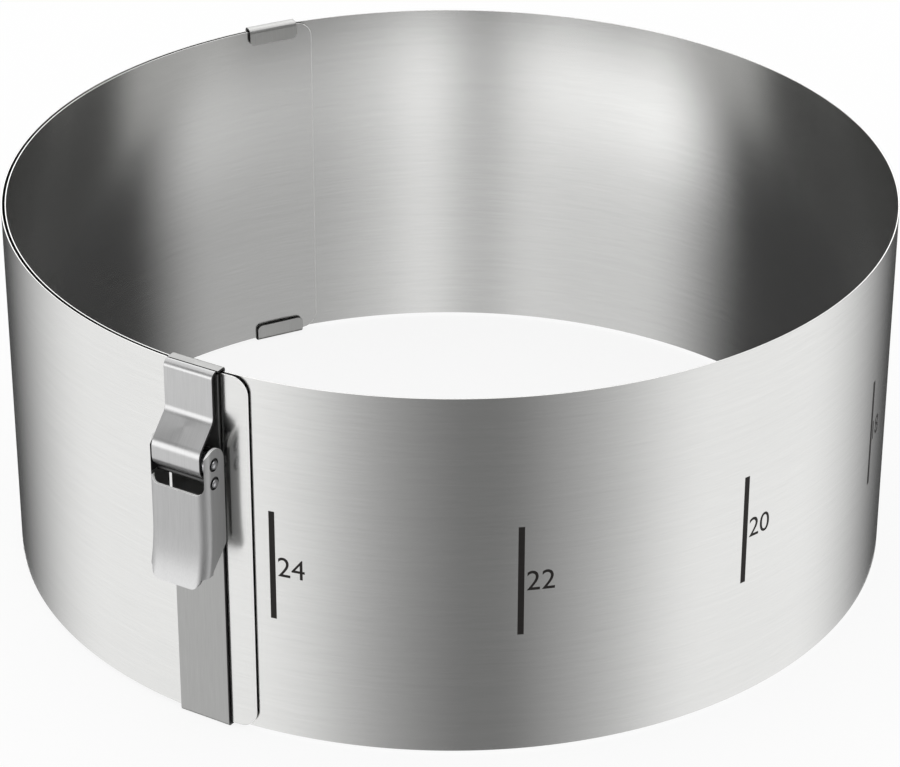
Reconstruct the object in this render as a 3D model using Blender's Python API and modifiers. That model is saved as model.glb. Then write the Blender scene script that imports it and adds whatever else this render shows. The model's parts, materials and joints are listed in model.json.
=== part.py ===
"""Adjustable cake ring: a strip of thin spring steel rolled up, and clamped where its layers overlap.

Metres, +Z up. The origin is on the ring's axis, at the lowest face of the clamp's folded bar.
The strip starts at its outer end, right of the clamp, runs clockwise seen from above, and
steps inwards a little all the way to its inner end, so that its layers never meet. It is made
as short rolled sections with a bending line between each two, where the real strip flexes.
"""

import math

import bmesh
import bpy
from mathutils import Matrix, Vector

# The ring and its strip
RING_DIAMETER = 0.2416
BAND_HEIGHT = 0.102
BAND_SHEET = 0.00035
OVERLAP_LENGTH = 0.278
LAYER_STEP = 0.001
OUTER_END_AZIMUTH = math.radians(-24.1)
BAND_CORNER = 0.0048
SECTION_COUNT = 41
SECTION_FACETS = 5
BENDING_GAP = 0.0002

# Clearances
SEAT_GAP = 0.0003
SLIDE_GAP = 0.0005
RIVET_GAP = 0.00015

# The folded bars of the clamp, at the strip's outer end
BAR_SHEET = 0.0006
BAR_WIDTH = 0.015
BAR_FOLD_RADIUS = 0.0006
BAR_LIP_HEIGHT = 0.0055
BAR_LIP_CORNER = 0.0015
CLAMP_INSET = 0.0075
INNER_BAR_REACH = 0.0007

# The spring strap
STRAP_SHEET = 0.0007
STRAP_SIDE_GAP = 0.0008
STRAP_STAND_OFF = 0.0022
STRAP_TOP_BEND = 0.0014
STRAP_BEND = 0.0036
STRAP_SLOPE_START = 0.0103
STRAP_SLOPE_END = 0.0037
CURL_RADIUS = 0.0039
CURL_TURN = math.radians(250)

# The lever and its pins
PIN_DROP = 0.0236
PIN_SPACING = 0.0052
PIN_RADIUS = 0.0007
PIN_HEAD_RADIUS = 0.00115
PIN_HEAD_HEIGHT = 0.0005
LEVER_SHEET = 0.0008
LEVER_WIDTH = 0.0175
LEVER_BEND = 0.0023
EAR_RADIUS = 0.0042
WEB_FRONT = 0.0041
WEB_TOP_DROP = 0.0077
WEB_TOP_CORNER = 0.0025
TAPER_START_DROP = 0.0242
TAPER_END_DROP = 0.0300
TAPER_CORNER = 0.002
FLANGE_END_DEPTH = 0.0018
TAB_DROP = 0.0337
TAB_WIDTH = 0.0146
TAB_CORNER = 0.0027
TAB_SHOULDER = 0.001
TAB_FLARE_DROP = 0.019
TAB_FLARE = 0.0023
CUTTER_MARGIN = 0.004

# The guide bar, at the strip's inner end
GUIDE_SHEET = 0.0006
GUIDE_WIDTH = 0.015
GUIDE_INSET = 0.005
GUIDE_FLAP_HEIGHT = 0.0048
GUIDE_FLAP_STAND_OFF = 0.0006
GUIDE_FLAP_CORNER = 0.0016
GUIDE_FOLD_RADIUS = 0.001

# How finely round things are cut
BEND_STEPS = 5
CURL_STEPS = 22
CORNER_STEPS = 5
FLARE_STEPS = 6
TURNED_STEPS = 24
HEAD_STEPS = 4
WELD_DISTANCE = 0.000001

# Places that follow from the sizes
OUTER_MID_RADIUS = RING_DIAMETER / 2 - BAND_SHEET / 2
STEP_PER_RADIAN = LAYER_STEP / math.tau
RIM_BOTTOM = BAR_SHEET + SEAT_GAP
RIM_TOP = RIM_BOTTOM + BAND_HEIGHT
TOTAL_HEIGHT = RIM_TOP + SEAT_GAP + BAR_SHEET
STRIP_LENGTH = math.pi * RING_DIAMETER + OVERLAP_LENGTH
SECTION_LENGTH = STRIP_LENGTH / SECTION_COUNT
CLAMP_LENGTH = CLAMP_INSET + BAR_WIDTH / 2
GUIDE_LENGTH = STRIP_LENGTH - GUIDE_INSET - GUIDE_WIDTH / 2

OUTER_BAR_OUT = BAND_SHEET / 2 + SEAT_GAP + BAR_SHEET / 2
INNER_BAR_OUT = -(LAYER_STEP + BAND_SHEET / 2 + SLIDE_GAP + BAR_SHEET / 2)
BAR_LIP_OUT = INNER_BAR_OUT - BAR_SHEET - SEAT_GAP
HOOK_END_OUT = OUTER_BAR_OUT + INNER_BAR_REACH - BAR_SHEET
STRAP_LEG_OUT = BAND_SHEET / 2 + STRAP_STAND_OFF + STRAP_SHEET / 2
PIN_OUT = OUTER_BAR_OUT + BAR_SHEET / 2 + SEAT_GAP + EAR_RADIUS
PIN_HEIGHT = TOTAL_HEIGHT - PIN_DROP
BUSH_RADIUS = CURL_RADIUS - STRAP_SHEET - SEAT_GAP
BUSH_BORE = PIN_RADIUS + SEAT_GAP
EAR_INSIDE = LEVER_WIDTH / 2 - LEVER_SHEET
STRAP_WIDTH = 2 * (EAR_INSIDE - STRAP_SIDE_GAP)

GUIDE_BAR_OUT = LAYER_STEP + BAND_SHEET / 2 + SLIDE_GAP + GUIDE_SHEET / 2
GUIDE_FLAP_OUT = -(BAND_SHEET / 2 + GUIDE_FLAP_STAND_OFF + GUIDE_SHEET / 2)

BAND_STEEL = ("band_steel", (0.66, 0.66, 0.65), 0.32)
BAR_STEEL = ("bar_steel", (0.50, 0.50, 0.49), 0.38)
LEVER_STEEL = ("lever_steel", (0.60, 0.60, 0.60), 0.34)
RIVET_STEEL = ("rivet_steel", (0.48, 0.48, 0.49), 0.30)


def clear_scene():
    for old in list(bpy.data.objects):
        bpy.data.objects.remove(old, do_unlink=True)


def new_collection(name):
    collection = bpy.data.collections.new(name)
    bpy.context.scene.collection.children.link(collection)
    return collection


def steel(finish):
    """A brushed steel material, made once for each finish."""
    name, colour, roughness = finish
    material = bpy.data.materials.get(name)
    if material is None:
        material = bpy.data.materials.new(name)
        material.use_nodes = True
        shader = material.node_tree.nodes["Principled BSDF"]
        shader.inputs["Base Color"].default_value = (*colour, 1.0)
        shader.inputs["Metallic"].default_value = 1.0
        shader.inputs["Roughness"].default_value = roughness
    return material


# The strip's spiral, in the ring's plane

def turn_at(length):
    """How far round the axis the strip has turned at this length from its outer end."""
    inside = math.sqrt(OUTER_MID_RADIUS ** 2 - 2 * STEP_PER_RADIAN * length)
    return (OUTER_MID_RADIUS - inside) / STEP_PER_RADIAN


def layer_radius(azimuth):
    """Radius of the outermost layer at this azimuth, which is 0 at the front and grows to the right."""
    return OUTER_MID_RADIUS - STEP_PER_RADIAN * ((OUTER_END_AZIMUTH - azimuth) % math.tau)


def spiral_centre():
    """The spiral's own centre, which lies off the axis by what brings the ring's box onto the axis."""
    right, left = layer_radius(math.pi / 2), layer_radius(-math.pi / 2)
    back, front = layer_radius(math.pi), layer_radius(0)
    return Vector(((left - right) / 2, (front - back) / 2))


def strip_point(length):
    """Place of the strip's middle, seen from above, at this length from its outer end."""
    turn = turn_at(length)
    radius = OUTER_MID_RADIUS - STEP_PER_RADIAN * turn
    azimuth = OUTER_END_AZIMUTH - turn
    return spiral_centre() + radius * Vector((math.sin(azimuth), -math.cos(azimuth)))


def strip_frame(name, length, collection):
    """An empty on the strip: X along it towards the inner end, Y outwards, Z up."""
    empty = bpy.data.objects.new(name, None)
    collection.objects.link(empty)
    empty.location = strip_point(length).to_3d()
    empty.rotation_euler.z = OUTER_END_AZIMUTH - turn_at(length) + math.pi
    return empty


def bending_line(number):
    """Length along the strip of a bending line, between section number and the next one."""
    return number * SECTION_LENGTH


# Outlines and formed sheets

def rounded(corners, closed=False):
    """Corners (x, y, radius) as the points of a line whose corners are arcs."""
    points = []
    last = len(corners) - 1
    for index, (x, y, radius) in enumerate(corners):
        here = Vector((x, y))
        at_open_end = not closed and index in (0, last)
        if at_open_end or radius == 0:
            points.append(here)
            continue
        back = (Vector(corners[index - 1][:2]) - here).normalized()
        ahead = (Vector(corners[(index + 1) % len(corners)][:2]) - here).normalized()
        half_angle = back.angle(ahead) / 2
        centre = here + (back + ahead).normalized() * radius / math.sin(half_angle)
        reach = radius / math.tan(half_angle)
        first = here + back * reach - centre
        final = here + ahead * reach - centre
        start = math.atan2(first.y, first.x)
        sweep = (math.atan2(final.y, final.x) - start + math.pi) % math.tau - math.pi
        for step in range(BEND_STEPS + 1):
            points.append(centre + radius * direction(start + sweep * step / BEND_STEPS))
    return points


def direction(angle):
    return Vector((math.cos(angle), math.sin(angle)))


def distances_along(path):
    distances = [0.0]
    for start, end in zip(path, path[1:]):
        distances.append(distances[-1] + (end - start).length)
    return distances


def point_along(path, distances, distance):
    """The point of a line at this distance along it."""
    index = 1
    while index < len(path) - 1 and distances[index] < distance:
        index += 1
    share = (distance - distances[index - 1]) / (distances[index] - distances[index - 1])
    return path[index - 1].lerp(path[index], share)


def flat_blank(length, low, high, start_corner, end_corner):
    """A flat rectangle with rounded corners at its two ends, length along X and width along Y."""
    blank = bmesh.new()
    bmesh.ops.create_grid(blank, x_segments=1, y_segments=1, size=1)
    for vertex in blank.verts:
        vertex.co.x = length if vertex.co.x > 0 else 0
        vertex.co.y = high if vertex.co.y > 0 else low
    for radius, at_end in ((start_corner, 0), (end_corner, length)):
        if radius:
            corners = [v for v in blank.verts if math.isclose(v.co.x, at_end, abs_tol=WELD_DISTANCE)]
            bmesh.ops.bevel(
                blank, geom=corners, offset=radius, offset_type="OFFSET",
                segments=CORNER_STEPS, profile=0.5, affect="VERTICES", clamp_overlap=True,
            )
    return blank


def cut_across(blank, place, normal):
    everything = blank.verts[:] + blank.edges[:] + blank.faces[:]
    bmesh.ops.bisect_plane(blank, geom=everything, plane_co=place, plane_no=normal)


def formed_sheet(name, path, low, high, place, thickness, corners=(0, 0), cross_folds=()):
    """A sheet that is cut flat, with rounded corners, and then bent along a path.

    path is the middle of the sheet in a plane, low and high are its edges across that plane,
    and place turns a path point and a distance across it into a point in space.
    """
    distances = distances_along(path)
    blank = flat_blank(distances[-1], low, high, *corners)
    for distance in distances[1:-1]:
        cut_across(blank, (distance, 0, 0), (1, 0, 0))
    for across in cross_folds:
        cut_across(blank, (0, across, 0), (0, 1, 0))
    for vertex in blank.verts:
        vertex.co = place(point_along(path, distances, vertex.co.x), vertex.co.y)
    sheet = bpy.data.objects.new(name, bpy.data.meshes.new(name))
    blank.to_mesh(sheet.data)
    blank.free()
    wall = sheet.modifiers.new("sheet_thickness", "SOLIDIFY")
    wall.thickness = thickness
    wall.offset = 0
    wall.use_even_offset = True
    return sheet


def upright(point, height):
    """Path seen from above, edges at two heights."""
    return Vector((point.x, point.y, height))


def sideways(point, across):
    """Path seen from the side, as outward distance and height."""
    return Vector((across, point.x, point.y))


def finish_piece(piece, parent, finish, collection, location=(0, 0, 0)):
    collection.objects.link(piece)
    piece.parent = parent
    piece.location = location
    piece.data.materials.append(steel(finish))
    return piece


# The strip

def band_section_name(number):
    if number == 1:
        return "band_outer_end"
    if number == SECTION_COUNT:
        return "band_inner_end"
    return f"band_section_{number:02d}"


def band_section(number, collection):
    """One short length of the strip between two bending lines, whose object stands on the first."""
    is_first, is_last = number == 1, number == SECTION_COUNT
    start = bending_line(number - 1) + (0 if is_first else BENDING_GAP / 2)
    end = bending_line(number) - (0 if is_last else BENDING_GAP / 2)
    hinge = strip_point(bending_line(number - 1))
    path = []
    for facet in range(SECTION_FACETS + 1):
        path.append(strip_point(start + (end - start) * facet / SECTION_FACETS) - hinge)
    corners = (BAND_CORNER if is_first else 0, BAND_CORNER if is_last else 0)
    section = formed_sheet(
        band_section_name(number), path, RIM_BOTTOM, RIM_TOP, upright, BAND_SHEET, corners
    )
    return finish_piece(section, None, BAND_STEEL, collection, hinge.to_3d())


def make_band(collection):
    for number in range(1, SECTION_COUNT + 1):
        band_section(number, collection)


# The clamp's bars and strap

def make_outer_bar(frame, collection):
    """Bar outside the strip, from the top rim down, that folds under the bottom rim and up inside."""
    bottom = BAR_SHEET / 2
    corners = [
        (OUTER_BAR_OUT, RIM_TOP, 0),
        (OUTER_BAR_OUT, bottom, BAR_FOLD_RADIUS),
        (BAR_LIP_OUT, bottom, BAR_FOLD_RADIUS),
        (BAR_LIP_OUT, BAR_LIP_HEIGHT, 0),
    ]
    bar = formed_sheet(
        "outer_bar", rounded(corners), -BAR_WIDTH / 2, BAR_WIDTH / 2, sideways, BAR_SHEET,
        (0, BAR_LIP_CORNER),
    )
    finish_piece(bar, frame, BAR_STEEL, collection)


def make_inner_bar(frame, collection):
    """Bar inside both layers, from the bottom rim up, that folds outwards over the top rims."""
    top = TOTAL_HEIGHT - BAR_SHEET / 2
    corners = [
        (INNER_BAR_OUT, RIM_BOTTOM, 0),
        (INNER_BAR_OUT, top, BAR_FOLD_RADIUS),
        (HOOK_END_OUT, top, 0),
    ]
    bar = formed_sheet(
        "inner_bar", rounded(corners), -BAR_WIDTH / 2, BAR_WIDTH / 2, sideways, BAR_SHEET
    )
    finish_piece(bar, frame, BAR_STEEL, collection)


def strap_path():
    """Middle of the strap from its joint on the inner bar, down its leg and slope, round the curl."""
    top = TOTAL_HEIGHT - STRAP_SHEET / 2
    curl = CURL_RADIUS - STRAP_SHEET / 2
    front = PIN_OUT + curl
    corners = [
        (HOOK_END_OUT + SEAT_GAP, top, 0),
        (STRAP_LEG_OUT, top, STRAP_TOP_BEND),
        (STRAP_LEG_OUT, PIN_HEIGHT + STRAP_SLOPE_START, STRAP_BEND),
        (front, PIN_HEIGHT + STRAP_SLOPE_END, STRAP_BEND),
        (front, PIN_HEIGHT, 0),
    ]
    path = rounded(corners)
    pin = Vector((PIN_OUT, PIN_HEIGHT))
    for step in range(1, CURL_STEPS + 1):
        path.append(pin + curl * direction(-CURL_TURN * step / CURL_STEPS))
    return path


def make_spring_strap(frame, collection):
    strap = formed_sheet(
        "spring_strap", strap_path(), -STRAP_WIDTH / 2, STRAP_WIDTH / 2, sideways, STRAP_SHEET
    )
    finish_piece(strap, frame, LEVER_STEEL, collection)


# The lever, whose object stands on the axis of the pin through the strap's curl

def tab_flare(height):
    """How far the lever's face has swung out at this height below the pin."""
    below = max(0.0, -height - TAB_FLARE_DROP) / (TAB_DROP - TAB_FLARE_DROP)
    return TAB_FLARE * below ** 2


def channel(point, height):
    """The lever's channel seen from above, with its face flared towards the finger tab."""
    return Vector((point.x, point.y + tab_flare(height), height))


def make_cutter(name, outline, half_depth, turn, frame, collection):
    """A solid cut from a flat outline, turned so that its depth runs where it cuts."""
    curve = bpy.data.curves.new(name, "CURVE")
    curve.dimensions = "2D"
    curve.fill_mode = "BOTH"
    curve.extrude = half_depth
    spline = curve.splines.new("POLY")
    spline.points.add(len(outline) - 1)
    for point, place in zip(spline.points, outline):
        point.co = (place.x, place.y, 0, 1)
    spline.use_cyclic_u = True
    drawn = bpy.data.objects.new(name + "_outline", curve)
    bpy.context.scene.collection.objects.link(drawn)
    depsgraph = bpy.context.evaluated_depsgraph_get()
    mesh = bpy.data.meshes.new_from_object(drawn.evaluated_get(depsgraph))
    bpy.data.objects.remove(drawn)
    solid = bmesh.new()
    solid.from_mesh(mesh)
    bmesh.ops.remove_doubles(solid, verts=solid.verts, dist=WELD_DISTANCE)
    bmesh.ops.recalc_face_normals(solid, faces=solid.faces)
    solid.transform(turn)
    solid.to_mesh(mesh)
    solid.free()
    cutter = bpy.data.objects.new(name, mesh)
    collection.objects.link(cutter)
    cutter.parent = frame
    cutter.hide_render = True
    cutter.display_type = "WIRE"
    return cutter


def cut(piece, cutter, operation):
    boolean = piece.modifiers.new(cutter.name, "BOOLEAN")
    boolean.object = cutter
    boolean.operation = operation
    boolean.solver = "EXACT"


def lever_side_outline():
    """The lever seen from the side: round ears, straight back edges that taper off at the tab."""
    front = WEB_FRONT + TAB_FLARE + CUTTER_MARGIN
    bottom = -TAB_DROP - CUTTER_MARGIN
    back = -EAR_RADIUS
    return rounded([
        (back, EAR_RADIUS, EAR_RADIUS),
        (EAR_RADIUS, EAR_RADIUS, EAR_RADIUS),
        (EAR_RADIUS, -WEB_TOP_DROP / 2, 0),
        (front, -WEB_TOP_DROP / 2, 0),
        (front, bottom, 0),
        (FLANGE_END_DEPTH, bottom, 0),
        (FLANGE_END_DEPTH, -TAPER_END_DROP, TAPER_CORNER),
        (back, -TAPER_START_DROP, TAPER_CORNER),
    ], closed=True)


def lever_front_outline():
    """The lever seen from the front: a finger tab below, and a round-cornered gap between the ears."""
    side = LEVER_WIDTH / 2 + CUTTER_MARGIN
    top = EAR_RADIUS + CUTTER_MARGIN
    tab = TAB_WIDTH / 2
    half = [
        (EAR_INSIDE, top, 0),
        (side, top, 0),
        (side, -TAPER_END_DROP, 0),
        (tab, -TAPER_END_DROP - TAB_SHOULDER, 0),
        (tab, -TAB_DROP, TAB_CORNER),
    ]
    gap = [(EAR_INSIDE, -WEB_TOP_DROP, WEB_TOP_CORNER)]
    mirrored = [(-x, y, radius) for x, y, radius in reversed(half)]
    mirrored_gap = [(-x, y, radius) for x, y, radius in gap]
    return rounded(half + mirrored + mirrored_gap + gap, closed=True)


def make_lever(pivot, collection, cutters):
    half = LEVER_WIDTH / 2 - LEVER_SHEET / 2
    face = WEB_FRONT - LEVER_SHEET / 2
    back = -EAR_RADIUS - CUTTER_MARGIN
    corners = [(-half, back, 0), (-half, face, LEVER_BEND), (half, face, LEVER_BEND), (half, back, 0)]
    low, high = -TAB_DROP - CUTTER_MARGIN, EAR_RADIUS + CUTTER_MARGIN
    folds = []
    for step in range(FLARE_STEPS + 1):
        folds.append(-TAB_FLARE_DROP - (TAB_DROP - TAB_FLARE_DROP) * step / FLARE_STEPS)
    lever = formed_sheet(
        "clamp_lever", rounded(corners), low, high, channel, LEVER_SHEET, cross_folds=folds
    )
    finish_piece(lever, pivot, LEVER_STEEL, collection)
    from_side = Matrix(((0, 0, 1, 0), (1, 0, 0, 0), (0, 1, 0, 0), (0, 0, 0, 1)))
    from_front = Matrix.Rotation(math.radians(90), 4, "X")
    side = make_cutter(
        "lever_side_shape", lever_side_outline(), LEVER_WIDTH, from_side, pivot, cutters
    )
    front = make_cutter(
        "lever_front_shape", lever_front_outline(), LEVER_WIDTH, from_front, pivot, cutters
    )
    cut(lever, side, "INTERSECT")
    cut(lever, front, "INTERSECT")
    for name, height in (("upper_hole", 0), ("lower_hole", -PIN_SPACING)):
        outline = [
            Vector((0, height)) + (PIN_RADIUS + RIVET_GAP) * direction(math.tau * step / TURNED_STEPS)
            for step in range(TURNED_STEPS)
        ]
        cut(lever, make_cutter(name, outline, LEVER_WIDTH, from_side, pivot, cutters), "DIFFERENCE")


def turned_piece(name, profile, closed):
    """A piece turned about X, from a profile of (radius, place along X) that runs down its outside."""
    mesh = bpy.data.meshes.new(name)
    vertices = [(radius, 0, along) for radius, along in profile]
    edges = [(index, index + 1) for index in range(len(profile) - 1)]
    if closed:
        edges.append((len(profile) - 1, 0))
    mesh.from_pydata(vertices, edges, [])
    piece = bpy.data.objects.new(name, mesh)
    lathe = piece.modifiers.new("lathe", "SCREW")
    lathe.axis = "Z"
    lathe.steps = TURNED_STEPS
    lathe.render_steps = TURNED_STEPS
    lathe.use_merge_vertices = True
    lathe.merge_threshold = WELD_DISTANCE
    piece.rotation_euler.y = math.radians(90)
    return piece


def rivet_profile():
    """A rivet from one domed head over its shank to the other."""
    under_head = LEVER_WIDTH / 2 + RIVET_GAP
    head = []
    for step in range(HEAD_STEPS + 1):
        rise = math.radians(90) * (1 - step / HEAD_STEPS)
        head.append((PIN_HEAD_RADIUS * math.cos(rise), under_head + PIN_HEAD_HEIGHT * math.sin(rise)))
    head[0] = (0.0, under_head + PIN_HEAD_HEIGHT)
    half = head + [(PIN_RADIUS, under_head)]
    return half + [(radius, -along) for radius, along in reversed(half)]


def make_pins(pivot, collection):
    for name, height in (("pivot_pin", 0), ("lever_pin", -PIN_SPACING)):
        pin = turned_piece(name, rivet_profile(), closed=False)
        finish_piece(pin, pivot, RIVET_STEEL, collection, (0, 0, height))
    half = EAR_INSIDE - SEAT_GAP
    profile = [(BUSH_RADIUS, half), (BUSH_RADIUS, -half), (BUSH_BORE, -half), (BUSH_BORE, half)]
    bush = turned_piece("pivot_bush", profile, closed=True)
    finish_piece(bush, pivot, RIVET_STEEL, collection)


# The guide bar

def make_guide_bar(frame, collection):
    """Bar outside the overlap, with a flap folded inwards over each rim that keeps the layers together."""
    low, high = GUIDE_SHEET / 2, TOTAL_HEIGHT - GUIDE_SHEET / 2
    corners = [
        (GUIDE_FLAP_OUT, high - GUIDE_FLAP_HEIGHT, 0),
        (GUIDE_FLAP_OUT, high, GUIDE_FOLD_RADIUS),
        (GUIDE_BAR_OUT, high, GUIDE_FOLD_RADIUS),
        (GUIDE_BAR_OUT, low, GUIDE_FOLD_RADIUS),
        (GUIDE_FLAP_OUT, low, GUIDE_FOLD_RADIUS),
        (GUIDE_FLAP_OUT, low + GUIDE_FLAP_HEIGHT, 0),
    ]
    bar = formed_sheet(
        "guide_bar", rounded(corners), -GUIDE_WIDTH / 2, GUIDE_WIDTH / 2, sideways, GUIDE_SHEET,
        (GUIDE_FLAP_CORNER, GUIDE_FLAP_CORNER),
    )
    finish_piece(bar, frame, BAR_STEEL, collection)


def shade(collection):
    for piece in collection.objects:
        if piece.type == "MESH":
            piece.data.shade_smooth()
            piece.data.set_sharp_from_angle(angle=math.radians(35))


def main():
    clear_scene()
    ring = new_collection("adjustable_cake_ring")
    cutters = new_collection("cutters")
    make_band(ring)
    clamp = strip_frame("clamp_frame", CLAMP_LENGTH, ring)
    make_outer_bar(clamp, ring)
    make_inner_bar(clamp, ring)
    make_spring_strap(clamp, ring)
    pivot = bpy.data.objects.new("lever_pivot", None)
    ring.objects.link(pivot)
    pivot.parent = clamp
    pivot.location = (0, PIN_OUT, PIN_HEIGHT)
    make_lever(pivot, ring, cutters)
    make_pins(pivot, ring)
    guide = strip_frame("guide_frame", GUIDE_LENGTH, ring)
    make_guide_bar(guide, ring)
    shade(ring)
    bpy.context.view_layer.update()


main()
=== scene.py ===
"""Adjustable cake ring, dressed: brushed band with its scale, clamp bars, strap, lever, rivets and guide.

Metres, +Z up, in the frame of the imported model. The band runs clockwise seen from above, from its
outer end beside the clamp to its inner end inside the ring, and steps inwards a little all the way.
Flat sheets are modelled flat, length along X, wall along Y and width along Z, and are then rolled or
bent along a path, as a workshop does it.
"""

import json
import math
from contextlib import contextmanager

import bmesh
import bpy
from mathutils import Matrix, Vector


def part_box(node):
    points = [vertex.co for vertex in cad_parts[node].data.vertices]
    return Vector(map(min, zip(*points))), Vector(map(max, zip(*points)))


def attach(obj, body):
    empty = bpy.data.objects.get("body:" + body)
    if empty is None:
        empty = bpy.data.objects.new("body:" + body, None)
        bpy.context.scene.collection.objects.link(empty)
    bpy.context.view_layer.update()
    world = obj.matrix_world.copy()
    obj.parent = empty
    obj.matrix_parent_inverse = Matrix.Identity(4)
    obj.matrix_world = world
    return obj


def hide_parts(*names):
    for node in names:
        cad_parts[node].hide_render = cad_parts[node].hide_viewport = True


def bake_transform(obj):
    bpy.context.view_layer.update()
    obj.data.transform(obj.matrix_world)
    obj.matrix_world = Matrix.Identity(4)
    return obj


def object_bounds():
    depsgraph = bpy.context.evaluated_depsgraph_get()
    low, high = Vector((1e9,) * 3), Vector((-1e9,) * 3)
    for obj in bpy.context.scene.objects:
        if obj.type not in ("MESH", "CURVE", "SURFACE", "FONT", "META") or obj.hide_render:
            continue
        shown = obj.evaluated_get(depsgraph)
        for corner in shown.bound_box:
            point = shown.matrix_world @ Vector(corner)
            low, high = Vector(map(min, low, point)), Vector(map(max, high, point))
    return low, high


bl_info = {
    "name": "Adjustable Cake Ring",
    "version": (1, 0, 0),
    "blender": (4, 5, 0),
    "location": "3D View > Sidebar > Cake Ring",
    "description": "Models and finishes the brushed band, the scale, the clamp and the guide of a cake ring",
    "category": "Object",
}

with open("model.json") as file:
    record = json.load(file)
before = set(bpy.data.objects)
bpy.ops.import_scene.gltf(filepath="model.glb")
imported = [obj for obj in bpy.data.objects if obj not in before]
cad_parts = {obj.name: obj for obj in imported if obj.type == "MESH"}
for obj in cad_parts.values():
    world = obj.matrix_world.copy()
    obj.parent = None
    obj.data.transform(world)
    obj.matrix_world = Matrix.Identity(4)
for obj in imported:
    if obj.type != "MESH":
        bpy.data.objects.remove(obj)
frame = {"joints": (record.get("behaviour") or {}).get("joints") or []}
CAD_LOW, CAD_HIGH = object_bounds()
JOINTS = {joint["name"]: joint for joint in frame["joints"]}

# The ring and its strip
RING_DIAMETER = 0.2416
BAND_SHEET = 0.00035
OVERLAP_LENGTH = 0.278
LAYER_STEP = 0.001
OUTER_END_AZIMUTH = math.radians(-24.1)
BAND_CORNER = 0.0048
BAND_EDGE = 0.00006
END_EDGE = 0.00015
SECTION_COUNT = 41
ROLL_STEPS = 20

# Clearances
SEAT_GAP = 0.0003
SLIDE_GAP = 0.0005
RIVET_GAP = 0.00015

# The bars of the clamp and the guide
BAR_SHEET = 0.0006
BAR_WIDTH = 0.015
BAR_FOLD_RADIUS = 0.0006
BAR_LIP_HEIGHT = 0.0055
BAR_LIP_CORNER = 0.0015
CLAMP_INSET = 0.0075
INNER_BAR_REACH = 0.0007
GUIDE_SHEET = 0.0006
GUIDE_WIDTH = 0.015
GUIDE_INSET = 0.005
GUIDE_FLAP_HEIGHT = 0.0048
GUIDE_FLAP_STAND_OFF = 0.0006
GUIDE_FLAP_CORNER = 0.0016
GUIDE_FOLD_RADIUS = 0.001

# The spring strap
STRAP_SHEET = 0.0007
STRAP_SIDE_GAP = 0.0008
STRAP_STAND_OFF = 0.0022
STRAP_TOP_BEND = 0.0014
STRAP_BEND = 0.0036
STRAP_SLOPE_START = 0.0103
STRAP_SLOPE_END = 0.0037
CURL_RADIUS = 0.0039
CURL_TURN = math.radians(250)

# The lever and its rivets
PIN_SPACING = 0.0052
PIN_RADIUS = 0.0007
PIN_HEAD_RADIUS = 0.00115
PIN_HEAD_HEIGHT = 0.0005
LEVER_SHEET = 0.0008
LEVER_WIDTH = 0.0175
LEVER_BEND = 0.0023
EAR_RADIUS = 0.0042
WEB_FRONT = 0.0041
WEB_TOP_DROP = 0.0077
WEB_TOP_CORNER = 0.0025
TAPER_START_DROP = 0.0242
TAPER_END_DROP = 0.0300
TAPER_CORNER = 0.002
FLANGE_END_DEPTH = 0.0018
TAB_DROP = 0.0337
TAB_WIDTH = 0.0146
TAB_CORNER = 0.0027
TAB_SHOULDER = 0.001
TAB_FLARE_DROP = 0.019
TAB_FLARE = 0.0023
CUTTER_MARGIN = 0.004
SHEET_EDGE = 0.00012
DIMPLE_RADIUS = 0.0018
DIMPLE_DEPTH = 0.0004

# The scale
SCALE_NUMBERS = range(16, 32, 2)
MARK_RISE = 0.00002
NUMBER_GAP = 0.00065
NUMBER_NARROW_SHARE = 0.94

# The brushed lines: how often their noise repeats in a metre, along the lines and across them twice,
# and how far it moves the shade and the roughness
FINE_LINES = (130, 6500, 6500)
COARSE_LINES = (60, 2600, 2600)
SMEARS = (22, 700, 700)
CLOUDS = (16, 34, 34)
FINE_LINES_SHARE = 0.6
NOISE_DETAIL = 2
NOISE_LOW_SHARE = 0.25
NOISE_HIGH_SHARE = 0.75
SLOW_SHADE_SHARE = 0.015
ROUGH_LINES_SHARE = 0.07
ROUGH_CLOUDS_SHARE = 0.04

# How finely round things are cut, and how near counts as the same place
CORNER_STEPS = 10
BEND_STEPS = 12
CURL_STEPS = 44
FLARE_STEPS = 16
HEAD_STEPS = 6
ROUND_STEPS = 48
EDGE_STEPS = 2
CLOSE = 0.000002

# Directions and turns, angles between faces, and how much of a face's normal has to point a way
ALONG = Vector((1, 0, 0))
UP = Vector((0, 0, 1))
QUARTER_TURN = math.radians(90)
FROM_SIDE = Matrix(((0, 0, 1, 0), (1, 0, 0, 0), (0, 1, 0, 0), (0, 0, 0, 1)))
FROM_FRONT = Matrix.Rotation(QUARTER_TURN, 4, "X")
CUT_EDGE_ANGLE = math.radians(60)
SMOOTH_ANGLE = math.radians(50)
ROUND_SMOOTH_ANGLE = math.radians(40)
FLAT_ANGLE = math.radians(0.2)
HEAD_ARC = math.radians(86)
SQUARE_ON_SHARE = 0.9
END_FACE_SHARE = 0.2
UPPER_EDGE_SHARE = 0.3

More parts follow.
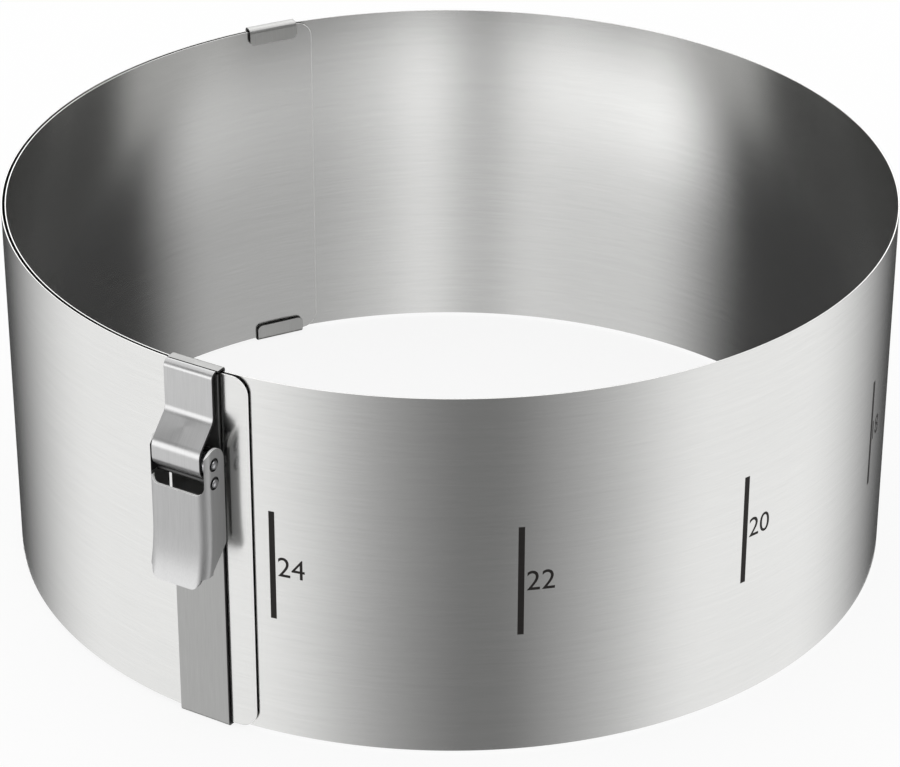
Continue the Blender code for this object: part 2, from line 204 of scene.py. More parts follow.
# Places that follow from the frame and the sizes
RIM_LOW, RIM_HIGH = (corner.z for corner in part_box("band_section_20"))
TOP = CAD_HIGH.z
OUTER_MID_RADIUS = RING_DIAMETER / 2 - BAND_SHEET / 2
STEP_PER_RADIAN = LAYER_STEP / math.tau
STRIP_LENGTH = math.pi * RING_DIAMETER + OVERLAP_LENGTH
SECTION_LENGTH = STRIP_LENGTH / SECTION_COUNT
CLAMP_LENGTH = CLAMP_INSET + BAR_WIDTH / 2
GUIDE_LENGTH = STRIP_LENGTH - GUIDE_INSET - GUIDE_WIDTH / 2
OUTER_BAR_OUT = BAND_SHEET / 2 + SEAT_GAP + BAR_SHEET / 2
INNER_BAR_OUT = -(LAYER_STEP + BAND_SHEET / 2 + SLIDE_GAP + BAR_SHEET / 2)
BAR_LIP_OUT = INNER_BAR_OUT - BAR_SHEET - SEAT_GAP
HOOK_END_OUT = OUTER_BAR_OUT + INNER_BAR_REACH - BAR_SHEET
STRAP_LEG_OUT = BAND_SHEET / 2 + STRAP_STAND_OFF + STRAP_SHEET / 2
PIN_OUT = OUTER_BAR_OUT + BAR_SHEET / 2 + SEAT_GAP + EAR_RADIUS
PIN_PLACE = Vector(JOINTS["lever_flip"]["pos_m"])
BUSH_RADIUS = CURL_RADIUS - STRAP_SHEET - SEAT_GAP
BUSH_BORE = PIN_RADIUS + SEAT_GAP
EAR_INSIDE = LEVER_WIDTH / 2 - LEVER_SHEET
STRAP_WIDTH = 2 * (EAR_INSIDE - STRAP_SIDE_GAP)
GUIDE_BAR_OUT = LAYER_STEP + BAND_SHEET / 2 + SLIDE_GAP + GUIDE_SHEET / 2
GUIDE_FLAP_OUT = -(BAND_SHEET / 2 + GUIDE_FLAP_STAND_OFF + GUIDE_SHEET / 2)

# The camera, fitted to the ring's rims and sides in the photograph
CAMERA_DISTANCE = 1.0
CAMERA_ELEVATION = math.radians(30.85)
CAMERA_YAW = math.radians(0.003)
CAMERA_PITCH = math.radians(28.779)
CAMERA_ROLL = math.radians(0.122)
CAMERA_LENS_MM = 140.94
CAMERA_SENSOR_MM = 36
CAMERA_NEAR = 0.05
CAMERA_FAR = 20

# The studio. Round walls about the ring's axis, which only the metal mirrors, have soft boxes on them.
# A box is the direction of its middle, how far its even part reaches to each side, how far it fades
# beyond that, all in degrees from the front and growing to the right, and its level.
WHITE = (1, 1, 1, 1)
FLOOR_SIZE = 12
MIRRORED_ONCE_DEPTH = 1.5
TENT_RADIUS = 2.5
TENT_REACH = 8.0
WELL_DEPTH = 3.0
TENT_BLEND = 0.5
TABLE_HEIGHT = -2.6
HORIZON_HEIGHT = -0.5
CEILING_HEIGHT = 0.9
SKY_HEIGHT = 2.8
WELL_BLEND = 0.03
WELL_RIM_HEIGHT = -0.035
WELL_FLOOR_HEIGHT = -0.09
NEAR_BOXES = (
    (0, 180, 1, 0.25),
)
TABLE_BOXES = (
    (0, 180, 1, 0.06),
    (-77, 23, 60, 1.10),
    (85, 15, 60, 1.12),
    (10, 10, 30, 0.18),
)
HORIZON_BOXES = (
    (0, 180, 1, 0.06),
    (-58, 16, 30, 2.10),
    (60, 30, 40, 0.40),
)
CEILING_BOXES = (
    (0, 180, 1, 0.20),
    (180, 24, 25, 1.80),
    (-65, 30, 40, 0.35),
)
SKY_BOXES = (
    (0, 180, 1, 1.40),
)
WELL_BOXES = (
    (-66, 14, 54, 0.84),
    (-10, 12, 30, 0.42),
    (18, 4, 36, 0.23),
    (62, 40, 42, 0.56),
    (180, 40, 40, 0.06),
)
WELL_RIM_BOXES = (
    (-68, 16, 46, 1.80),
    (-10, 12, 30, 0.64),
    (18, 4, 36, 0.36),
    (62, 40, 42, 0.90),
    (180, 40, 40, 0.06),
)
FLOOR_BOXES_MIRRORED_AGAIN = (
    (0, 180, 1, 0.70),
)
WELL_BOXES_MIRRORED_AGAIN = (
    (0, 180, 1, 0.10),
    (8, 32, 32, 0.80),
)


class SheetLook(bpy.types.PropertyGroup):
    """Colours and brushing of the steel sheets."""

    band_colour: bpy.props.FloatVectorProperty(
        name="Band colour", description="Colour of the band's steel",
        default=(0.66, 0.66, 0.65), subtype="COLOR", min=0, max=1,
    )
    bar_colour: bpy.props.FloatVectorProperty(
        name="Bar colour", description="Colour of the clamp's bars",
        default=(0.36, 0.36, 0.355), subtype="COLOR", min=0, max=1,
    )
    guide_colour: bpy.props.FloatVectorProperty(
        name="Guide colour", description="Colour of the guide bar",
        default=(0.50, 0.50, 0.49), subtype="COLOR", min=0, max=1,
    )
    lever_colour: bpy.props.FloatVectorProperty(
        name="Lever colour", description="Colour of the lever and its strap",
        default=(0.46, 0.46, 0.46), subtype="COLOR", min=0, max=1,
    )
    rivet_colour: bpy.props.FloatVectorProperty(
        name="Rivet colour", description="Colour of the turned rivets and the bush",
        default=(0.48, 0.48, 0.49), subtype="COLOR", min=0, max=1,
    )
    # Painted shade: near-black on the cut edges, in the lever's dimples and on the rivets' shanks.
    edge_colour: bpy.props.FloatVectorProperty(
        name="Edge colour", description="Colour of the bars' and the strap's cut edges",
        default=(0.09, 0.09, 0.09), subtype="COLOR", min=0, max=1,
    )
    # Painted highlight: near-white on the strip's end faces and the lever's upper edges.
    ground_colour: bpy.props.FloatVectorProperty(
        name="Ground colour", description="Colour of the strip's ground ends",
        default=(0.92, 0.92, 0.91), subtype="COLOR", min=0, max=1,
    )
    band_roughness: bpy.props.FloatProperty(
        name="Band roughness", description="Roughness of the band's brushed face",
        default=0.19, min=0, max=1, subtype="FACTOR",
    )
    brush_depth: bpy.props.FloatProperty(
        name="Brush depth", description="Depth of the brushed lines",
        default=0.0000008, min=0, max=0.0001, unit="LENGTH",
    )


class ScaleLook(bpy.types.PropertyGroup):
    """The etched scale of diameters."""

    bar_width: bpy.props.FloatProperty(
        name="Bar width", description="Width of a scale bar", default=0.0016, min=0.0005, unit="LENGTH",
    )
    bar_low: bpy.props.FloatProperty(
        name="Bar foot", description="Height of a bar's lower end", default=0.0352, min=0.001, unit="LENGTH",
    )
    bar_high: bpy.props.FloatProperty(
        name="Bar top", description="Height of a bar's upper end", default=0.0664, min=0.001, unit="LENGTH",
    )
    digit_height: bpy.props.FloatProperty(
        name="Digit height", description="Height of the numbers", default=0.0056, min=0.001, unit="LENGTH",
    )
    etch_colour: bpy.props.FloatVectorProperty(
        name="Etch colour", description="Colour of the etched marks",
        default=(0.014, 0.012, 0.011), subtype="COLOR", min=0, max=1,
    )


class StudioLook(bpy.types.PropertyGroup):
    """The floor and the light."""

    floor_colour: bpy.props.FloatVectorProperty(
        name="Floor colour", description="Colour of the floor",
        default=(0.98, 0.98, 0.98), subtype="COLOR", min=0, max=1,
    )
    light: bpy.props.FloatProperty(
        name="Light", description="Level of the even light on matt surfaces", default=1.0, min=0,
    )
    shadow: bpy.props.FloatProperty(
        name="Shadow", description="How much of the ring's shadow the floor shows",
        default=0.16, min=0, max=1, subtype="FACTOR",
    )


# The strip's spiral, in the ring's plane

def turn_at(length):
    """How far round the axis the strip has turned at this length from its outer end."""
    inside = math.sqrt(OUTER_MID_RADIUS ** 2 - 2 * STEP_PER_RADIAN * length)
    return (OUTER_MID_RADIUS - inside) / STEP_PER_RADIAN


def layer_radius(azimuth):
    """Radius of the outermost layer at this azimuth, which is 0 at the front and grows to the right."""
    return OUTER_MID_RADIUS - STEP_PER_RADIAN * ((OUTER_END_AZIMUTH - azimuth) % math.tau)


def spiral_centre():
    right, left = layer_radius(math.pi / 2), layer_radius(-math.pi / 2)
    back, front = layer_radius(math.pi), layer_radius(0)
    return Vector(((left - right) / 2, (front - back) / 2, 0))


def strip_frame(length):
    """Frame on the strip at this length: X along it to the inner end, Y outwards, Z up."""
    turn = turn_at(length)
    radius = OUTER_MID_RADIUS - STEP_PER_RADIAN * turn
    azimuth = OUTER_END_AZIMUTH - turn
    place = spiral_centre() + radius * Vector((math.sin(azimuth), -math.cos(azimuth), 0))
    return Matrix.Translation(place) @ Matrix.Rotation(azimuth + math.pi, 4, "Z")


def middle_length(number):
    """Length of strip up to the middle of a section."""
    return (number - 0.5) * SECTION_LENGTH


def middle_of_section(number):
    return strip_frame(middle_length(number)).translation


def band_body(number):
    if number == 1:
        return "outer_end"
    if number == SECTION_COUNT:
        return "inner_end"
    return f"section_{number:02d}"


def band_node(number):
    return "band_" + band_body(number)


def blend_along(piece, number):
    """Works a piece's place into its mesh; the middles of this section and the next are found but not used.
    """
    middle_of_section(number)
    middle_of_section(number + 1)
    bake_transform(piece)


# Working by hand: what is selected, and what is edited

def work_on(piece):
    """Makes a piece the only selected and active object."""
    bpy.ops.object.select_all(action="DESELECT")
    piece.select_set(True)
    bpy.context.view_layer.objects.active = piece


@contextmanager
def editing(piece):
    """Holds a piece in edit mode, at first with all of it selected."""
    work_on(piece)
    bpy.ops.object.mode_set(mode="EDIT")
    bpy.ops.mesh.select_all(action="SELECT")
    yield
    bpy.ops.object.mode_set(mode="OBJECT")


def choose(piece, kind, test):
    """Selects the verts, edges or faces of the edited mesh that pass a test."""
    bpy.context.tool_settings.mesh_select_mode = [kind == each for each in ("verts", "edges", "faces")]
    bpy.ops.mesh.select_all(action="DESELECT")
    shape = bmesh.from_edit_mesh(piece.data)
    for element in getattr(shape, kind):
        if test(element):
            element.select_set(True)
    shape.select_flush_mode()
    bmesh.update_edit_mesh(piece.data)


def score(places, direction=ALONG):
    """Cuts the edited mesh square to a direction, at these places along it."""
    for place in places:
        bpy.ops.mesh.select_all(action="SELECT")
        bpy.ops.mesh.bisect(plane_co=place * direction, plane_no=direction)


def settled(name, scale=(1, 1, 1)):
    """The piece just added, named, with its place, its turn and a scale worked into its mesh."""
    piece = bpy.context.object
    piece.name = name
    piece.data.name = name
    piece.scale = scale
    bpy.ops.object.transform_apply(location=True, rotation=True, scale=True)
    return piece


def apply_modifier(piece, name, kind, **settings):
    modifier = piece.modifiers.new(name, kind)
    for setting, value in settings.items():
        setattr(modifier, setting, value)
    work_on(piece)
    bpy.ops.object.modifier_apply(modifier=modifier.name)


def soften(piece):
    """Takes the sharpness off a cut piece's edges."""
    apply_modifier(
        piece, "soft_edges", "BEVEL", width=SHEET_EDGE, segments=EDGE_STEPS, limit_method="ANGLE",
        angle_limit=SMOOTH_ANGLE,
    )


def smooth(piece):
    """Shades a sheet's bends and soft edges smooth, and its wide faces even."""
    work_on(piece)
    bpy.ops.object.shade_smooth_by_angle(angle=SMOOTH_ANGLE)
    apply_modifier(piece, "even_shading", "WEIGHTED_NORMAL", keep_sharp=True)


def copy_of(piece, name):
    copy = piece.copy()
    copy.data = piece.data.copy()
    copy.name = name
    copy.data.name = name
    bpy.context.scene.collection.objects.link(copy)
    return copy


def remove(piece):
    mesh = piece.data
    bpy.data.objects.remove(piece)
    bpy.data.meshes.remove(mesh)


# Flat sheets

def flat_blank(name, length, low, high):
    """A flat upright sheet along X from 0, as yet without a wall."""
    bpy.ops.object.select_all(action="DESELECT")
    bpy.ops.mesh.primitive_plane_add(
        size=1, location=(length / 2, 0, (low + high) / 2), rotation=(-QUARTER_TURN, 0, 0)
    )
    return settled(name, (length, high - low, 1))


def flat_sheet(name, length, low, high, wall, corners, folds, edge, open_ends=(False, False)):
    """A flat sheet: rounded corners at its two ends, a cut at each fold, and softened edges.

    An open end is where the sheet goes on in the next piece, and stays square.
    """
    sheet = flat_blank(name, length, low, high)
    with editing(sheet):
        for end, radius in ((0, corners[0]), (length, corners[1])):
            if radius:
                choose(sheet, "verts", lambda vertex: abs(vertex.co.x - end) < CLOSE)
                bpy.ops.mesh.bevel(
                    offset=radius, offset_type="OFFSET", segments=CORNER_STEPS, affect="VERTICES"
                )
        score(folds)
    apply_modifier(sheet, "wall", "SOLIDIFY", thickness=wall, offset=0)

    def is_edge_to_soften(line):
        if len(line.link_faces) != 2 or line.calc_face_angle(0) < CUT_EDGE_ANGLE:
            return False
        for end, is_open in ((0, open_ends[0]), (length, open_ends[1])):
            if is_open and all(abs(vertex.co.x - end) < CLOSE for vertex in line.verts):
                return False
        return True

    with editing(sheet):
        choose(sheet, "edges", is_edge_to_soften)
        bpy.ops.mesh.bevel(offset=edge, segments=EDGE_STEPS, affect="EDGES")
    smooth(sheet)
    return sheet


def form(sheet, place, start=0.0):
    """Rolls or bends a flat sheet: place(distance) is the frame that its middle takes there."""
    mesh = sheet.data
    flat = [vertex.co.copy() for vertex in mesh.vertices]
    normals = [corner.vector.copy() for corner in mesh.corner_normals]
    pattern = mesh.uv_layers[0] if mesh.uv_layers else mesh.uv_layers.new(name="sheet")
    pattern.name = "sheet"
    frames = {}
    for co in flat:
        key = round(co.x, 8)
        if key not in frames:
            frames[key] = place(start + co.x)
    bent_normals = []
    for corner, normal in zip(mesh.loops, normals):
        co = flat[corner.vertex_index]
        pattern.data[corner.index].uv = (start + co.x, co.z + co.y)
        turned = frames[round(co.x, 8)].to_3x3() @ normal
        bent_normals.append(turned.normalized())
    for vertex, co in zip(mesh.vertices, flat):
        vertex.co = frames[round(co.x, 8)] @ Vector((0, co.y, co.z))
    mesh.normals_split_custom_set(bent_normals)
    mesh.update()
    return sheet


def bent_line(corners):
    """Corners (x, y, radius) as stations (distance, place, heading) of a line with round bends."""
    points = [Vector(corner[:2]) for corner in corners]
    stations = [(0.0, points[0], (points[1] - points[0]).normalized())]

    def add(place, heading, arc=None):
        distance, before, _ = stations[-1]
        stations.append((distance + (arc or (place - before).length), place, heading))

    for index in range(1, len(corners) - 1):
        here, radius = points[index], corners[index][2]
        arriving = (here - points[index - 1]).normalized()
        leaving = (points[index + 1] - here).normalized()
        turn = math.atan2(arriving.cross(leaving), arriving.dot(leaving))
        reach = radius * math.tan(abs(turn) / 2)
        side = math.copysign(1, turn) * Vector((-arriving.y, arriving.x))
        centre = here - arriving * reach + side * radius
        add(here - arriving * reach, arriving)
        for step in range(1, BEND_STEPS + 1):
            part_turn = Matrix.Rotation(turn * step / BEND_STEPS, 2)
            add(centre - part_turn @ side * radius, part_turn @ arriving, radius * abs(turn) / BEND_STEPS)
    add(points[-1], (points[-1] - points[-2]).normalized())
    return stations


def station_at(stations, distance):
    """Place and heading of a line at a distance along it."""
    index = 1
    while index < len(stations) - 1 and stations[index][0] < distance:
        index += 1
    (start, place, heading), (end, next_place, next_heading) = stations[index - 1:index + 1]
    share = (distance - start) / (end - start)
    return place.lerp(next_place, share), heading.lerp(next_heading, share).normalized()


def bent_sheet(name, stations, width, wall, corners, stand):
    """A sheet bent along a line seen from the side, as (outwards, height), on a frame on the strip."""
    length = stations[-1][0]
    folds = [station[0] for station in stations[1:-1]]
    sheet = flat_sheet(name, length, -width / 2, width / 2, wall, corners, folds, SHEET_EDGE)
    # The cut edges and their soft edges take the second finish, the painted shade.
    for face in sheet.data.polygons:
        face.material_index = int(abs(face.normal.y) < SQUARE_ON_SHARE)

    def place(distance):
        (out, height), (ahead_out, ahead_up) = station_at(stations, distance)
        local = Matrix((
            (0, 0, 1, 0),
            (ahead_out, -ahead_up, 0, out),
            (ahead_up, ahead_out, 0, height),
            (0, 0, 0, 1),
        ))
        return stand @ local

    return form(sheet, place)


# Finishes

def fill(tree, node, inputs):
    """Sets a node's inputs to plain values, or joins them to the sockets given."""
    for name, value in inputs.items():
        if isinstance(value, bpy.types.NodeSocket):
            tree.links.new(value, node.inputs[name])
        else:
            node.inputs[name].default_value = value
    return node


def add_node(tree, kind, inputs, **settings):
    """A new node with its settings and its inputs."""
    node = tree.nodes.new(kind)
    for setting, value in settings.items():
        setattr(node, setting, value)
    return fill(tree, node, inputs)


def maths(tree, operation, *values):
    """One step of arithmetic on sockets or numbers."""
    return add_node(tree, "ShaderNodeMath", dict(enumerate(values)), operation=operation).outputs[0]


def mapped(tree, value, from_low, from_high, to_low, to_high, way="LINEAR"):
    """A value taken from one range to another and held at its ends."""
    node = add_node(
        tree, "ShaderNodeMapRange",
        {"Value": value, "From Min": from_low, "From Max": from_high, "To Min": to_low, "To Max": to_high},
        interpolation_type=way,
    )
    return node.outputs["Result"]


def noise(tree, vector, stretch):
    """Noise on a vector stretched by a factor along each axis, from 0 to 1."""
    stretched = add_node(tree, "ShaderNodeVectorMath", {0: vector, 1: stretch}, operation="MULTIPLY")
    inputs = {"Vector": stretched.outputs[0], "Scale": 1, "Detail": NOISE_DETAIL}
    return add_node(tree, "ShaderNodeTexNoise", inputs).outputs["Fac"]


def spread(tree, value, low, high):
    """Noise spread over a range, with its middle part stretched to fill it."""
    return mapped(tree, value, NOISE_LOW_SHARE, NOISE_HIGH_SHARE, low, high)


def waver(tree, value, share):
    """A factor that noise moves up and down from 1 by a share."""
    return spread(tree, value, 1 - share, 1 + share)


def brushed_lines():
    """Fine lines along X of the vector, given in metres: colour, roughness and height."""
    group = bpy.data.node_groups.get("brushed_lines")
    if group:
        return group
    group = bpy.data.node_groups.new("brushed_lines", "ShaderNodeTree")
    for in_out, sockets in (
        ("INPUT", {"Vector": "Vector", "Colour": "Color", "Roughness": "Float", "Contrast": "Float"}),
        ("OUTPUT", {"Colour": "Color", "Roughness": "Float", "Height": "Float"}),
    ):
        for name, kind in sockets.items():
            group.interface.new_socket(name, in_out=in_out, socket_type="NodeSocket" + kind)
    given = group.nodes.new("NodeGroupInput")
    vector, contrast = given.outputs["Vector"], given.outputs["Contrast"]
    fine, coarse = noise(group, vector, FINE_LINES), noise(group, vector, COARSE_LINES)
    smear, cloud = noise(group, vector, SMEARS), noise(group, vector, CLOUDS)
    coarse_part = maths(group, "MULTIPLY", coarse, 1 - FINE_LINES_SHARE)
    lines = maths(group, "MULTIPLY_ADD", fine, FINE_LINES_SHARE, coarse_part)
    shade = spread(group, lines, maths(group, "SUBTRACT", 1, contrast), maths(group, "ADD", 1, contrast))
    slow = [waver(group, each, SLOW_SHADE_SHARE) for each in (smear, cloud)]
    shade = maths(group, "MULTIPLY", shade, maths(group, "MULTIPLY", *slow))
    tint = add_node(
        group, "ShaderNodeVectorMath", {0: given.outputs["Colour"], "Scale": shade}, operation="SCALE"
    )
    rough = maths(group, "MULTIPLY", given.outputs["Roughness"], waver(group, coarse, ROUGH_LINES_SHARE))
    rough = maths(group, "MULTIPLY", rough, waver(group, cloud, ROUGH_CLOUDS_SHARE))
    add_node(group, "NodeGroupOutput", {"Colour": tint.outputs[0], "Roughness": rough, "Height": lines})
    return group


def new_material(name):
    """A new material with its tree of nodes and its shader."""
    material = bpy.data.materials.new(name)
    material.use_nodes = True
    return material, material.node_tree, material.node_tree.nodes["Principled BSDF"]


def brushed(name, colour, roughness, contrast, upright=False):
    """A new material with brushed lines along its sheet or upright: itself, its shader and its lines."""
    material, tree, shader = new_material(name)
    if upright:
        whole = add_node(tree, "ShaderNodeTexCoord", {})
        turned = add_node(
            tree, "ShaderNodeMapping", {"Vector": whole.outputs["Object"], "Rotation": (0, QUARTER_TURN, 0)}
        )
        vector = turned.outputs["Vector"]
    else:
        vector = add_node(tree, "ShaderNodeUVMap", {}, uv_map="sheet").outputs["UV"]
    inputs = {"Vector": vector, "Colour": (*colour, 1), "Roughness": roughness, "Contrast": contrast}
    lines = add_node(tree, "ShaderNodeGroup", inputs, node_tree=brushed_lines())
    fill(tree, shader, {"Base Color": lines.outputs["Colour"], "Roughness": lines.outputs["Roughness"]})
    return material, shader, lines


def steel(name, colour, roughness, upright=False, anisotropy=0.5, turn=0.0, contrast=0.1, metallic=1.0):
    """A brushed finish in one of the sheets' colours, as metal, or matt and not metal for the painted
    highlight.
    """
    found = bpy.data.materials.get(name)
    if found:
        return found
    look = bpy.context.scene.cake_ring_sheet
    material, shader, lines = brushed(name, getattr(look, colour), roughness, contrast, upright)
    tree = material.node_tree
    relief = add_node(
        tree, "ShaderNodeBump", {"Distance": look.brush_depth, "Height": lines.outputs["Height"]}
    )
    fill(tree, shader, {
        "Metallic": metallic,
        "Anisotropic": anisotropy,
        "Anisotropic Rotation": turn,
        "Normal": relief.outputs["Normal"],
    })
    return material


def band_steel():
    roughness = bpy.context.scene.cake_ring_sheet.band_roughness
    return steel("brushed_band", "band_colour", roughness, anisotropy=0.6, turn=0.25, contrast=0.045)


def bar_steel():
    return steel("brushed_bar", "bar_colour", roughness=0.36)


def guide_steel():
    return steel("brushed_guide", "guide_colour", roughness=0.36)


def strap_steel():
    return steel("brushed_strap", "lever_colour", roughness=0.30)


def lever_steel():
    return steel("brushed_lever", "lever_colour", roughness=0.38, upright=True, anisotropy=0.8)


def rivet_steel():
    return steel(
        "turned_rivet", "rivet_colour", roughness=0.24, upright=True, anisotropy=0.0, contrast=0.06
    )


def cut_edges():
    """Painted shade, near-black, on a sheet's cut edges, which are rough from the shears, and in the lever's
    dimples and on the rivets' shanks.
    """
    return steel("cut_edges", "edge_colour", roughness=0.5, upright=True, anisotropy=0.0, contrast=0.2)


def ground_ends():
    """Painted highlight on the strip's two end faces and the lever's upper edges: near-white, matt and not
    metal.
    """
    return steel(
        "ground_ends", "ground_colour", roughness=0.6, upright=True, anisotropy=0.0, contrast=0.05,
        metallic=0.0,
    )


def etched():
    """The dark etching of the scale: matt oxide with the steel's lines showing through."""
    found = bpy.data.materials.get("etched_scale")
    if found:
        return found
    colour = bpy.context.scene.cake_ring_scale.etch_colour
    material, shader, _ = brushed("etched_scale", colour, roughness=0.55, contrast=0.3)
    fill(material.node_tree, shader, {"Metallic": 0.0, "Specular IOR Level": 0.2})
    return material


def give(piece, material, slot, *edges):
    """Gives a piece its finish, and after it the painted shade or painted highlight that its cut edges,
    dimples, shanks or ends take, where it has them.
    """
    for each in (material, *edges):
        piece.data.materials.append(each)


# The stage

def eased(tree, value, low, high, level=1):
    """A level that rises gently from 0 as a value goes from low to high."""
    return mapped(tree, value, low, high, 0, level, "SMOOTHSTEP")


def box_light(tree, angle, boxes):
    """Light level in a direction round the axis, in degrees, from the soft boxes there."""
    total = 0.0
    for middle, even, fade, level in boxes:
        turned = maths(tree, "WRAP", maths(tree, "SUBTRACT", angle, middle), 180, -180)
        glow = eased(tree, maths(tree, "ABSOLUTE", turned), even + fade, even, level)
        total = maths(tree, "ADD", glow, total)
    return total


def make_world():
    """Even white light from all round. Metal mirrors the light tent instead."""
    world = bpy.data.worlds.new("studio")
    bpy.context.scene.world = world
    world.use_nodes = True
    fill(world.node_tree, world.node_tree.nodes["Background"], {
        "Color": WHITE,
        "Strength": bpy.context.scene.cake_ring_studio.light,
    })
    world.cycles_visibility.glossy = False


def blended(tree, share, before, after):
    """A value that goes from one to another as a share goes from 0 to 1."""
    return add_node(tree, "ShaderNodeMix", {"Factor": share, "A": before, "B": after}).outputs["Result"]


def ring_light(tree, angle, height, blend, boxes, *upper_rings):
    """Light level at a direction and a height: rings of soft boxes that blend into each other.

    Each upper ring is the height where it starts and its own boxes.
    """
    level = box_light(tree, angle, boxes)
    for start, upper_boxes in upper_rings:
        above = eased(tree, height, start - blend / 2, start + blend / 2)
        level = blended(tree, above, level, box_light(tree, angle, upper_boxes))
    return level


def light_wall(name, radius, low, high, ends, blend, rings, rings_mirrored_again=None):
    """A round wall of soft light and dark cloth about the ring's axis, which only metal mirrors.

    The last rings are what the ring shows where it mirrors its own far side.
    """
    bpy.ops.object.select_all(action="DESELECT")
    bpy.ops.mesh.primitive_cylinder_add(
        vertices=4 * ROUND_STEPS, radius=radius, depth=high - low, end_fill_type=ends,
        location=(0, 0, (low + high) / 2),
    )
    wall = settled(name)
    for kind in ("camera", "diffuse", "transmission", "volume_scatter", "shadow"):
        setattr(wall, "visible_" + kind, False)
    material, tree, shader = new_material(name)
    material.cycles.emission_sampling = "NONE"
    tree.nodes.remove(shader)
    whole = add_node(tree, "ShaderNodeTexCoord", {})
    place = add_node(tree, "ShaderNodeSeparateXYZ", {0: whole.outputs["Object"]})
    backwards = maths(tree, "MULTIPLY", place.outputs["Y"], -1)
    angle = maths(tree, "DEGREES", maths(tree, "ARCTAN2", place.outputs["X"], backwards))
    height = place.outputs["Z"]
    level = ring_light(tree, angle, height, blend, *rings)
    if rings_mirrored_again:
        path = add_node(tree, "ShaderNodeLightPath", {})
        again = maths(tree, "GREATER_THAN", path.outputs["Glossy Depth"], MIRRORED_ONCE_DEPTH)
        level = blended(tree, again, level, ring_light(tree, angle, height, blend, *rings_mirrored_again))
    glow = add_node(tree, "ShaderNodeEmission", {"Strength": level})
    fill(tree, tree.nodes["Material Output"], {"Surface": glow.outputs[0]})
    wall.data.materials.append(material)


def make_floor():
    """A pale floor that keeps the ring's shadow, softened as on a lit table."""
    look = bpy.context.scene.cake_ring_studio
    bpy.ops.object.select_all(action="DESELECT")
    bpy.ops.mesh.primitive_plane_add(size=FLOOR_SIZE, location=(0, 0, 0))
    floor = settled("floor")
    floor.visible_glossy = False
    floor.visible_shadow = False
    material, tree, shader = new_material("pale_floor")
    fill(tree, shader, {"Base Color": (*look.floor_colour, 1), "Roughness": 1.0, "Specular IOR Level": 0.0})
    white = add_node(tree, "ShaderNodeEmission", {"Color": WHITE})
    path = add_node(tree, "ShaderNodeLightPath", {})
    seen = maths(tree, "MAXIMUM", path.outputs["Is Camera Ray"], path.outputs["Is Glossy Ray"])
    lit = maths(tree, "MULTIPLY", seen, 1 - look.shadow)
    mixed = add_node(tree, "ShaderNodeMixShader", {0: lit, 1: shader.outputs[0], 2: white.outputs[0]})
    fill(tree, tree.nodes["Material Output"], {"Surface": mixed.outputs[0]})
    floor.data.materials.append(material)


def make_camera():
    """The camera at the photograph's place: above the front, looking down at the ring."""
    bpy.ops.object.select_all(action="DESELECT")
    bpy.ops.object.camera_add()
    camera = bpy.context.object
    camera.name = "camera"
    camera.data.lens = CAMERA_LENS_MM
    camera.data.sensor_width = CAMERA_SENSOR_MM
    camera.data.clip_start = CAMERA_NEAR
    camera.data.clip_end = CAMERA_FAR
    ahead = Vector((
        math.sin(CAMERA_YAW) * math.cos(CAMERA_PITCH),
        math.cos(CAMERA_YAW) * math.cos(CAMERA_PITCH),
        -math.sin(CAMERA_PITCH),
    ))
    level = Vector((math.cos(CAMERA_YAW), -math.sin(CAMERA_YAW), 0))
    right = Matrix.Rotation(-CAMERA_ROLL, 3, ahead) @ level
    turned = Matrix((right, right.cross(ahead), -ahead)).transposed()
    place = CAMERA_DISTANCE * Vector((0, -math.cos(CAMERA_ELEVATION), math.sin(CAMERA_ELEVATION)))
    camera.matrix_world = Matrix.Translation(place) @ turned.to_4x4()
    bpy.context.scene.camera = camera


class CAKERING_OT_stage(bpy.types.Operator):
    """Add the pale floor, the studio's light and the camera"""

    bl_idname = "cakering.stage"
    bl_label = "Stage"

    def execute(self, context):
        context.scene.view_settings.view_transform = "Standard"
        make_world()
        make_floor()
        light_wall(
            "light_tent", TENT_RADIUS, -TENT_REACH, TENT_REACH, "NGON", TENT_BLEND,
            (
                NEAR_BOXES,
                (TABLE_HEIGHT, TABLE_BOXES),
                (HORIZON_HEIGHT, HORIZON_BOXES),
                (CEILING_HEIGHT, CEILING_BOXES),
                (SKY_HEIGHT, SKY_BOXES),
            ),
        )
        light_wall(
            "light_well", RING_DIAMETER / 2, -WELL_DEPTH, -CLOSE, "NOTHING", WELL_BLEND,
            (WELL_BOXES, (WELL_RIM_HEIGHT, WELL_RIM_BOXES)),
            (FLOOR_BOXES_MIRRORED_AGAIN, (WELL_FLOOR_HEIGHT, WELL_BOXES_MIRRORED_AGAIN)),
        )
        make_camera()
        return {"FINISHED"}


# The band

def strip_blank(name, length, corners, edge, open_ends):
    steps = round(ROLL_STEPS * length / SECTION_LENGTH)
    folds = [length * step / steps for step in range(1, steps)]
    return flat_sheet(name, length, RIM_LOW, RIM_HIGH, BAND_SHEET, corners, folds, edge, open_ends)


def roll_up(sheet, start):
    """Rolls a flat length of the strip onto its spiral."""
    form(sheet, strip_frame, start)
    sheet.data.use_auto_texspace = False
    sheet.data.texspace_location = (0, 0, (RIM_LOW + RIM_HIGH) / 2)
    sheet.data.texspace_size = (RING_DIAMETER / 2, RING_DIAMETER / 2, (RIM_HIGH - RIM_LOW) / 2)


def band_end(name, number, start, side, corners, open_ends):
    """Half a length at one end of the strip, whose end face and its soft edges carry a painted highlight."""
    sheet = strip_blank(name, SECTION_LENGTH / 2, corners, END_EDGE, open_ends)
    # The end face and its soft edges take the painted highlight, near-white and matt.
    for face in sheet.data.polygons:
        face.material_index = int(side * face.normal.x > END_FACE_SHARE)
    roll_up(sheet, start)
    give(sheet, band_steel(), "band_steel", ground_ends())
    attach(sheet, band_body(number))
    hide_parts(band_node(number))


